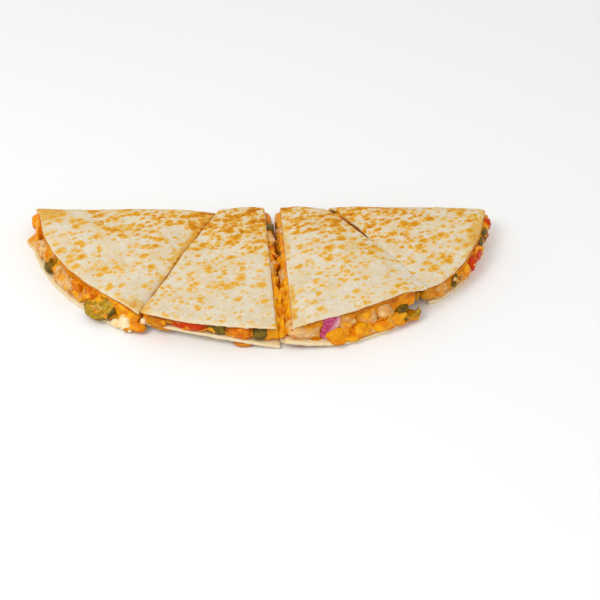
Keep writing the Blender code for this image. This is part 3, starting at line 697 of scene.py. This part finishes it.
def chicken_finish():
    finish, tree, shader, place = new_finish("grilled_chicken", 0.45, Subsurface_Weight=0.1, Specular_IOR_Level=0.2)
    shader.inputs["Subsurface Radius"].default_value = (0.003, 0.0016, 0.001)
    grain = put(tree, "ShaderNodeAttribute", attribute_name="grain").outputs["Vector"]
    fibre = speckle(tree, drawn_out(tree, grain, 0.0, (0.16, 1.0, 1.0)), 0.9 * MM, 2, 0.6, 0.3)
    patch = speckle(tree, place, 6 * MM, 2, 0.5)
    colour = over(tree, fade(tree, patch, 0.36, 0.64), shade(212, 166, 106), shade(234, 201, 142))
    colour = over(tree, sum_of(tree, "MULTIPLY", fade(tree, fibre, 0.50, 0.72), 0.6), colour, shade(190, 128, 76))
    seared = fade(tree, speckle(tree, place, 4.2 * MM, 3, 0.6), 0.60, 0.74)
    colour = over(tree, sum_of(tree, "MULTIPLY", seared, 0.6), colour, shade(178, 110, 50))
    colour, covered = filmed(tree, place, colour, 5 * MM, 0.16)
    tree.links.new(colour, shader.inputs["Base Color"])
    wet = put(tree, "ShaderNodeMapRange", {"Value": covered, "To Min": 0.5, "To Max": 0.28}).outputs["Result"]
    tree.links.new(wet, shader.inputs["Roughness"])
    strings = relief(tree, shader, fibre, 0.5 * MM, 0.9)
    relief(tree, shader, covered, 0.25 * MM, 0.8, under=strings)
    return finish


chicken_look = chicken_finish()
for node in sorted(n for n in frame["nodes"] if n.startswith("chicken_")):
    meat = hacked(cast_from(node, f"torn_{node}"), node, 6, (0.62, 0.92))
    shaped(meat, "REMESH", mode="VOXEL", voxel_size=0.42 * MM, use_smooth_shade=True)
    shaped(meat, "SMOOTH", factor=0.5, iterations=4)
    shaped(meat, "DISPLACE", strength=1.1 * MM, mid_level=0.0)
    chance = random.Random(node)
    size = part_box(node)[1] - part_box(node)[0]
    across, middle = along_grain(meat, chance.uniform(-0.4, 0.4) + (0 if size.x > size.y else math.pi / 2))

    def stringy(p, n):
        """Long fibres stand a little proud, and the torn ends are uneven."""
        q = across @ (p - middle)
        strand = noise.noise(Vector((q.x / (9 * MM), q.y / (2.0 * MM), q.z / (2.0 * MM))) + middle * 900)
        lump = noise.noise(p / (4.5 * MM))
        return p + n * (0.55 * strand + 0.85 * lump) * MM

    reworked(meat, stringy)
    sunk_in(meat, cheese_skins[node[-2]])
    meat.data.materials.append(chicken_look)
    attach(meat, "root")
    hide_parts(node)

# The diced tomato: wet red flesh, softened by the heat, with the skin still on one side of each dice.


def skin_side(piece, out, share=0.35):
    """Marks the side of a dice that has its skin on: the points that lie furthest along out."""
    depths = [v.co.dot(out) for v in piece.data.vertices]
    low, high = min(depths), max(depths)
    edge = high - share * (high - low)
    layer = piece.data.attributes.new("skin", "FLOAT", "POINT")
    layer.data.foreach_set("value", [eased(edge - 0.4 * MM, edge + 0.4 * MM, d) for d in depths])


def tomato_finish():
    finish, tree, shader, place = new_finish("diced_tomato", 0.24, Subsurface_Weight=0.06, Specular_IOR_Level=0.12)
    shader.inputs["Subsurface Radius"].default_value = (0.003, 0.0007, 0.0004)
    flesh = speckle(tree, place, 2.6 * MM, 3, 0.6, 0.5)
    colour = over(tree, fade(tree, flesh, 0.36, 0.66), shade(200, 96, 0), shade(226, 138, 14))
    colour = over(tree, sum_of(tree, "MULTIPLY", mark(tree, "skin"), 0.9), colour, shade(196, 46, 0))
    colour, covered = filmed(tree, place, colour, 6 * MM, 0.05)
    tree.links.new(colour, shader.inputs["Base Color"])
    soft = relief(tree, shader, flesh, 0.35 * MM, 0.6)
    relief(tree, shader, covered, 0.25 * MM, 0.8, under=soft)
    return finish


tomato_look = tomato_finish()
for node in sorted(n for n in frame["nodes"] if n.startswith("tomato_")):
    dice = hacked(cast_from(node, f"diced_{node}"), node, 4, (0.7, 0.95))
    shaped(dice, "REMESH", mode="VOXEL", voxel_size=0.42 * MM, use_smooth_shade=True)
    shaped(dice, "SMOOTH", factor=0.5, iterations=4)
    shaped(dice, "DISPLACE", strength=0.8 * MM, mid_level=0.0)
    reworked(dice, lambda p, n: p + n * (0.40 * noise.noise(p / (4 * MM)) + 0.12 * noise.noise(p / (1.5 * MM))) * MM)
    chance = random.Random(node)
    if node in ("tomato_2a", "tomato_2g") or node[-2] == "4":
        skin_side(dice, (outward(node) + Vector((0, 0, chance.uniform(-0.3, 0.8)))).normalized())
    if node != "tomato_2a":
        sunk_in(dice, cheese_skins[node[-2]])
    dice.data.materials.append(tomato_look)
    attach(dice, "root")
    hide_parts(node)

# The green pepper: dice with a dark, shiny skin and paler flesh, one round slice with its seeds, and one ring.


def pepper_finish(name, flesh_dark, flesh_light, skin_dark, skin_light, cover):
    finish, tree, shader, place = new_finish(name, 0.25, Subsurface_Weight=0.05, Specular_IOR_Level=0.22)
    shader.inputs["Subsurface Radius"].default_value = (0.0015, 0.0015, 0.0004)
    soft = speckle(tree, place, 2.8 * MM, 3, 0.55, 0.4)
    skin = over(tree, fade(tree, speckle(tree, place, 3.6 * MM, 2, 0.5), 0.35, 0.7), skin_dark, skin_light)
    flesh = over(tree, fade(tree, soft, 0.36, 0.66), flesh_dark, flesh_light)
    colour = over(tree, mark(tree, "skin"), flesh, skin)
    colour, covered = filmed(tree, place, colour, 6 * MM, cover)
    tree.links.new(colour, shader.inputs["Base Color"])
    rippled = relief(tree, shader, soft, 0.25 * MM, 0.6)
    relief(tree, shader, covered, 0.25 * MM, 0.8, under=rippled)
    return finish


pepper_look = pepper_finish("green_pepper", shade(140, 108, 0), shade(184, 148, 18), shade(84, 66, 0), shade(126, 100, 6), -0.3)
slice_look = pepper_finish("pepper_slice", shade(156, 116, 4), shade(196, 156, 28), shade(88, 70, 0), shade(134, 106, 4), -0.55)
for node in sorted(n for n in frame["nodes"] if n.startswith("pepper_") and n.count("_") == 1):
    dice = hacked(cast_from(node, f"diced_{node}"), node, 4, (0.7, 0.95))
    shaped(dice, "REMESH", mode="VOXEL", voxel_size=0.42 * MM, use_smooth_shade=True)
    shaped(dice, "SMOOTH", factor=0.5, iterations=4)
    reworked(dice, lambda p, n: p + n * (0.6 + 0.4 * noise.noise(p / (4 * MM))) * MM)
    sunk_in(dice, cheese_skins[node[-2]])
    skin_side(dice, (outward(node) + Vector((0, 0, 0.5))).normalized(), 0.55)
    dice.data.materials.append(slice_look if node == "pepper_1b" else pepper_look)
    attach(dice, "root")
    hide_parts(node)

for node in ("pepper_slice_1f", "pepper_ring_3j"):
    cut = cast_from(node, f"cut_{node}")
    low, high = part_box(node)
    middle = (low + high) / 2
    shaped(cut, "REMESH", mode="VOXEL", voxel_size=0.4 * MM, use_smooth_shade=True)
    shaped(cut, "SMOOTH", factor=0.5, iterations=4)
    reworked(cut, lambda p, n: p + n * (0.45 * noise.noise(p / (5 * MM)) + 0.2 * noise.noise(p / (1.8 * MM))) * MM)
    reach = max((v.co - middle).length for v in cut.data.vertices)
    painted(cut, "skin", lambda p, n: eased(0.80, 0.90, (p - middle).length / reach))
    if node == "pepper_slice_1f":
        painted(cut, "sunk", lambda p, n: -1.0)
    if node == "pepper_ring_3j":
        painted(cut, "sunk", lambda p, n: 1.6 * eased(-1 * MM, 6 * MM, middle.y - p.y))
    cut.data.materials.append(slice_look)
    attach(cut, "root")
    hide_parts(node)

# The red onion: a curved leaf, magenta on its outer side and white through its flesh.


def onion_finish():
    finish, tree, shader, place = new_finish("red_onion", 0.25, Subsurface_Weight=0.15, Specular_IOR_Level=0.35)
    shader.inputs["Subsurface Radius"].default_value = (0.003, 0.002, 0.0025)
    vein = speckle(tree, place, 1.8 * MM, 3, 0.6, 0.4)
    purple = over(tree, fade(tree, vein, 0.36, 0.66), shade(168, 36, 88), shade(206, 84, 130))
    white = over(tree, fade(tree, vein, 0.42, 0.62), shade(244, 222, 214), shade(222, 146, 172))
    colour = over(tree, mark(tree, "skin"), white, purple)
    tree.links.new(colour, shader.inputs["Base Color"])
    relief(tree, shader, vein, 0.2 * MM, 0.6)
    return finish


onion_look = onion_finish()
leaf = cast_from("onion_3b", "leaf_onion_3b")
leaf_middle = sum(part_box("onion_3b"), Vector()) / 2
leaf_outer = Vector((0.8, 0.2, -0.55)).normalized()
shaped(leaf, "REMESH", mode="VOXEL", voxel_size=0.36 * MM, use_smooth_shade=True)
shaped(leaf, "SMOOTH", factor=0.5, iterations=4)
reworked(leaf, lambda p, n: p + n * (0.9 + 0.3 * noise.noise(p / (4 * MM))) * MM)
painted(leaf, "skin", lambda p, n: eased(2.2 * MM, -2.4 * MM, (p - leaf_middle).dot(leaf_outer)))
leaf.data.materials.append(onion_look)
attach(leaf, "root")
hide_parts("onion_3b")

# The lumps of cheddar that melted last and bulge out of the third wedge's rim, a clearer orange than the rest.
for node in sorted(n for n in frame["nodes"] if n.startswith("cheese_lump_")):
    bulge = hacked(cast_from(node, f"set_{node}"), node, 4, (0.7, 0.95))
    shaped(bulge, "REMESH", mode="VOXEL", voxel_size=0.45 * MM, use_smooth_shade=True)
    shaped(bulge, "SMOOTH", factor=0.5, iterations=6)
    reworked(bulge, lambda p, n: p + n * (0.25 + 0.7 * noise.noise(p / (4.5 * MM)) + 0.2 * noise.noise(p / (2 * MM))) * MM)
    hollows(bulge, 6)
    painted_shade_under_roof(bulge, roof)
    bulge.data.materials.append(cheese_look)
    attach(bulge, "root")
    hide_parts(node)

# The blob of soft white cheese at the corner of the left wedge.


def white_cheese_finish():
    finish, tree, shader, place = new_finish("soft_white_cheese", 0.35, Subsurface_Weight=0.25)
    shader.inputs["Subsurface Radius"].default_value = (0.003, 0.0026, 0.002)
    curd = speckle(tree, place, 2.5 * MM, 3, 0.6)
    colour = over(tree, fade(tree, curd, 0.35, 0.7), shade(240, 220, 176), shade(250, 240, 216))
    colour, covered = filmed(tree, place, colour, 6 * MM, -0.25)
    tree.links.new(colour, shader.inputs["Base Color"])
    relief(tree, shader, curd, 0.3 * MM, 0.6)
    return finish


curds = cast_from("white_cheese_1g", "soft_white_cheese_1g")
shaped(curds, "REMESH", mode="VOXEL", voxel_size=0.4 * MM, use_smooth_shade=True)
shaped(curds, "SMOOTH", factor=0.5, iterations=16)
reworked(curds, lambda p, n: p + n * 0.5 * noise.noise(p / (3.5 * MM)) * MM)
sunk_in(curds, cheese_skins["1"])
white_look = white_cheese_finish()
curds.data.materials.append(white_look)
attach(curds, "root")
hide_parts("white_cheese_1g")

low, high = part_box("white_cheese_1g")
smears = [
    blob(low.x - 1.0 * MM, low.y + 4.8 * MM, 4.0 * MM, (9 * MM, 5 * MM, 5 * MM), -0.5),
    blob(low.x + 4.0 * MM, low.y + 2.6 * MM, 4.4 * MM, (8 * MM, 4.5 * MM, 5.5 * MM), -0.5),
    blob(SECOND_LEFT + 0.8 * MM, low.y + 3.2 * MM, 6.6 * MM, (4 * MM, 4.5 * MM, 5 * MM)),
]
only(*smears)
bpy.ops.object.join()
smears[0].name = "soft_white_smears"
shaped(smears[0], "REMESH", mode="VOXEL", voxel_size=0.45 * MM, use_smooth_shade=True)
shaped(smears[0], "SMOOTH", factor=0.5, iterations=6)
reworked(smears[0], lambda p, n: p + n * (0.2 + 0.5 * noise.noise(p / (3.5 * MM))) * MM)
painted(smears[0], "sunk", lambda p, n: 0.4 * eased(SECOND_LEFT - 1 * MM, SECOND_LEFT - 6 * MM, p.x))
smears[0].data.materials.clear()
smears[0].data.materials.append(white_look)
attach(smears[0], "root")

# The small bits that came loose under the knife and cling to the filling at the rims and in the middle cut: dice of
# tomato and pepper, slivers of onion, shreds of chicken and crumbs of cheese. Each kind is one model, copied and turned.
fillings = [o for o in bpy.data.objects if o.name.startswith(("melted_", "torn_", "diced_", "leaf_", "cut_", "set_", "soft_white"))]
filling_skin = skin_of(*fillings)


def seen_from(start, way):
    """Where a ray lands on the filling, and which way its skin faces there. None if a tortilla is in the way."""
    at, facing, _, far = filling_skin.ray_cast(start, way, 90 * MM)
    hidden = roof.ray_cast(start, way, 90 * MM)[3]
    if at is None or (hidden is not None and hidden < far) or left_clean(at):
        return None
    return at, facing


def left_clean(at):
    """Whether this place is on the white cheese or the slice of pepper, which nothing else clings to."""
    boxes = [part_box("white_cheese_1g"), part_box("pepper_slice_1f")]
    return any(all(low[k] - 0.8 * MM < at[k] < high[k] + 0.8 * MM for k in range(3)) for low, high in boxes)


def rim_spot(chance, bearings=(-80, 80)):
    bearing = math.radians(chance.uniform(*bearings))
    out = Vector((math.sin(bearing), -math.cos(bearing), 0))
    start = Vector((-0.9 * MM, DISC_MIDDLE, chance.uniform(3, 15) * MM)) + out * 185 * MM
    return seen_from(start, (-out + Vector((0, 0, chance.uniform(-0.1, 0.05)))).normalized())


def middle_cut_spot(chance, _bearings):
    y = chance.uniform(FRONT + 6 * MM, BACK - 12 * MM)
    x = (side_of("tortilla_2", max)(y) + side_of("tortilla_3", min)(y)) / 2
    way = Vector((chance.choice((-1, 1)), 0, chance.uniform(-0.5, 0.1))).normalized()
    return seen_from(Vector((x, y, chance.uniform(7, 16) * MM)), way)


def laid_on(spot, chance, sink):
    """A turn and a place that set a bit's underside on the skin there, sunk in it by that much."""
    at, facing = spot
    turn = facing.to_track_quat("Z", "Y").to_matrix().to_4x4() @ Matrix.Rotation(chance.uniform(0, math.tau), 4, "Z")
    tip = Matrix.Rotation(chance.uniform(-0.5, 0.5), 4, "X") @ Matrix.Diagonal((*[chance.uniform(0.75, 1.25) for _ in range(3)], 1))
    return Matrix.Translation(at - facing * sink) @ turn @ tip


def lifted(p):
    """The same place, or the table's top if it lies below that."""
    return Vector((p.x, p.y, max(p.z, 0.2 * MM)))


def strewn(model, look, seed, at_rim, in_cut, sink):
    """Copies the model to its places and joins the copies into one piece. at_rim lists how many between two bearings."""
    chance = random.Random(seed)
    spots = []
    for find, count, *bearings in ((middle_cut_spot, in_cut), *[(rim_spot, *some) for some in at_rim]):
        found = [find(chance, bearings) for _ in range(count * 12)]
        spots += [spot for spot in found if spot][:count]
    copies = []
    for spot in spots:
        copy = bpy.data.objects.new(model.name, model.data.copy())
        bpy.context.scene.collection.objects.link(copy)
        copy.data.transform(laid_on(spot, chance, sink))
        copies.append(copy)
    bpy.data.objects.remove(model)
    only(*copies)
    bpy.ops.object.join()
    piece = bpy.context.active_object
    reworked(piece, lambda p, n: lifted(p + n * 0.35 * noise.noise(p / (1.6 * MM)) * MM))
    bpy.ops.object.shade_smooth()
    if look is not cheese_look:
        sunk_in(piece, filling_skin)
    piece.data.materials.clear()
    piece.data.materials.append(look)
    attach(piece, "root")


def cut_cube(name, sizes, rounding, bow=0.0):
    """A small block of those widths with soft edges, bowed up at its ends if asked."""
    bpy.ops.object.select_all(action="DESELECT")
    bpy.ops.mesh.primitive_cube_add(size=1)
    block = bpy.context.active_object
    block.name = name
    block.data.transform(Matrix.Diagonal((*[c * MM for c in sizes], 1)))
    bpy.ops.object.mode_set(mode="EDIT")
    bpy.ops.mesh.select_all(action="SELECT")
    if bow:
        bpy.ops.mesh.bisect(plane_co=(-sizes[0] * MM / 4, 0, 0), plane_no=(1, 0, 0))
        bpy.ops.mesh.select_all(action="SELECT")
        bpy.ops.mesh.bisect(plane_co=(0, 0, 0), plane_no=(1, 0, 0))
        bpy.ops.mesh.select_all(action="SELECT")
        bpy.ops.mesh.bisect(plane_co=(sizes[0] * MM / 4, 0, 0), plane_no=(1, 0, 0))
        bpy.ops.mesh.select_all(action="SELECT")
    bpy.ops.mesh.bevel(offset=rounding * MM, segments=1)
    bpy.ops.object.mode_set(mode="OBJECT")
    reworked(block, lambda p, n: p + Vector((0, bow * (p.x / (sizes[0] * MM / 2)) ** 2 * MM, 0)))
    painted(block, "skin", lambda p, n: 1.0 if p.z > 0 else 0.0)
    return block


shred = cut_cube("chicken_shreds", (6.5, 2.2, 1.8), 0.5, 0.8)
along_grain(shred, 0)
strewn(shred, chicken_look, 3, [(9, -72, -36), (5, 4, 44), (7, 50, 80)], 14, 0.5 * MM)
scrap = shaped(cut_cube("chicken_scraps", (9, 6.5, 4.5), 1.4, 0.8), "REMESH", mode="VOXEL", voxel_size=0.6 * MM)
along_grain(scrap, 0)
strewn(scrap, chicken_look, 9, [(2, -72, -65), (2, -58, -51), (2, -49, -44)], 0, 1.2 * MM)
tomato_bit = cut_cube("tomato_bits", (3.4, 2.8, 2.2), 0.6)
strewn(tomato_bit, tomato_look, 4, [(9, 58, 82)], 9, 0.7 * MM)
pepper_bit = cut_cube("pepper_bits", (3.4, 2.8, 1.6), 0.5)
strewn(pepper_bit, pepper_look, 5, [(3, -72, -55), (4, 55, 84)], 4, 0.5 * MM)
strewn(cut_cube("onion_slivers", (5.5, 1.3, 2.4), 0.4, 1.2), onion_look, 6, [(3, 7, 12)], 1, 1.2 * MM)
strewn(cut_cube("cheese_crumbs", (3.4, 2.8, 2.4), 0.8), cheese_look, 8, [(8, -80, -30), (5, -24, 5), (10, 48, 80)], 14, 1.0 * MM)

# The strings of cheese that stretched from lump to lump when the wedges were pulled apart, each a thin sagging thread.
chance = random.Random(12)
strings = []
while len(strings) < 16:
    first, second = rim_spot(chance), rim_spot(chance)
    if not (first and second) or not 5 * MM < (first[0] - second[0]).length < 13 * MM:
        continue
    ends = [at - facing * 0.5 * MM for at, facing in (first, second)]
    outer = (first[1] + second[1]).normalized()
    bpy.ops.object.select_all(action="DESELECT")
    bpy.ops.curve.primitive_bezier_curve_add(radius=1)
    string = bpy.context.active_object
    for point, end in zip(string.data.splines[0].bezier_points, ends):
        point.handle_left_type = point.handle_right_type = "ALIGNED"
        point.co = end
    reach = (ends[1] - ends[0]) / 3 - Vector((0, 0, chance.uniform(0.2, 1.4) * MM))
    for point, sign in zip(string.data.splines[0].bezier_points, (1, -1)):
        lift = outer * 1.2 * MM
        point.handle_right = point.co + reach * sign + lift
        point.handle_left = point.co - reach * sign - lift
    string.data.bevel_depth = chance.uniform(0.25, 0.5) * MM
    string.data.bevel_resolution = 2
    string.data.resolution_u = 8
    string.data.use_fill_caps = True
    bpy.ops.object.convert(target="MESH")
    strings.append(string)
only(*strings)
bpy.ops.object.join()
strings[0].name = "cheese_strings"
strings[0].data.materials.clear()
strings[0].data.materials.append(cheese_look)
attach(strings[0], "root")

# The pale, flat seeds that stayed on the slice of pepper.


def seed_finish():
    finish, tree, shader, place = new_finish("pepper_seed", 0.35, Specular_IOR_Level=0.25)
    tone = speckle(tree, place, 1.2 * MM, 2, 0.5)
    tree.links.new(over(tree, fade(tree, tone, 0.35, 0.65), shade(196, 146, 44), shade(222, 184, 92)), shader.inputs["Base Color"])
    return finish


low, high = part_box("pepper_slice_1f")
slice_skin = skin_of(bpy.data.objects["cut_pepper_slice_1f"])
chance = random.Random(21)
seeds = []
for _ in range(18):
    turn, out = chance.uniform(0, math.tau), chance.uniform(0.15, 0.6)
    start = (low + high) / 2 + Vector((math.cos(turn) * 10.5 * out, math.sin(turn) * 9 * out, 30)) * MM
    at, facing, _, _ = slice_skin.ray_cast(start, Vector((0, 0, -1)), 60 * MM)
    if at is None:
        continue
    bpy.ops.object.select_all(action="DESELECT")
    bpy.ops.mesh.primitive_uv_sphere_add(segments=8, ring_count=6, radius=0.5)
    seed = bpy.context.active_object
    seed.data.transform(Matrix.Diagonal((2.3 * MM, 1.7 * MM, 0.9 * MM, 1)))
    seed.data.transform(laid_on((at, facing), chance, 0.0))
    seeds.append(seed)
only(*seeds)
bpy.ops.object.join()
bpy.ops.object.shade_smooth()
seeds[0].name = "pepper_seeds"
seeds[0].data.materials.append(seed_finish())
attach(seeds[0], "root")

# The table, the soft light over it, and the camera that looks down on the quesadilla from the front.
bpy.ops.object.select_all(action="DESELECT")
bpy.ops.mesh.primitive_plane_add(size=8, location=(0, 0, 0))
table = bpy.context.active_object
table.name = "table"
table_finish, tree, shader, place = new_finish("pale_table", 0.8)
tone = over(tree, speckle(tree, place, 0.4, 1), shade(248, 248, 247), shade(250, 250, 249))
tree.links.new(tone, shader.inputs["Base Color"])
table.data.materials.append(table_finish)

sky = bpy.data.worlds.new("soft_room")
sky.use_nodes = True
sky.node_tree.nodes["Background"].inputs["Color"].default_value = (1.0, 1.0, 1.0, 1.0)
sky.node_tree.nodes["Background"].inputs["Strength"].default_value = 0.76
bpy.context.scene.world = sky


def soft_lamp(name, place, aim, width, power):
    bpy.ops.object.light_add(type="AREA", location=place)
    lamp = bpy.context.active_object
    lamp.name = name
    lamp.rotation_euler = (Vector(aim) - Vector(place)).to_track_quat("-Z", "Y").to_euler()
    lamp.data.size = width
    lamp.data.energy = power


soft_lamp("window_light", (-0.7, -0.5, 1.0), (0, 0, 0), 0.6, 6)
soft_lamp("front_fill", (0.5, -1.1, 0.6), (0, 0, 0), 0.8, 2)

aim = Vector((26.6, -17.3, 0)) * MM
down = math.radians(37)
bpy.ops.object.camera_add(location=aim + Vector((0, -math.cos(down), math.sin(down))))
camera = bpy.context.active_object
camera.name = "camera"
camera.rotation_euler = (aim - camera.location).to_track_quat("-Z", "Y").to_euler()
camera.data.lens = 94.2
camera.data.sensor_width = 36
bpy.context.scene.camera = camera
bpy.context.scene.view_settings.view_transform = "Standard"
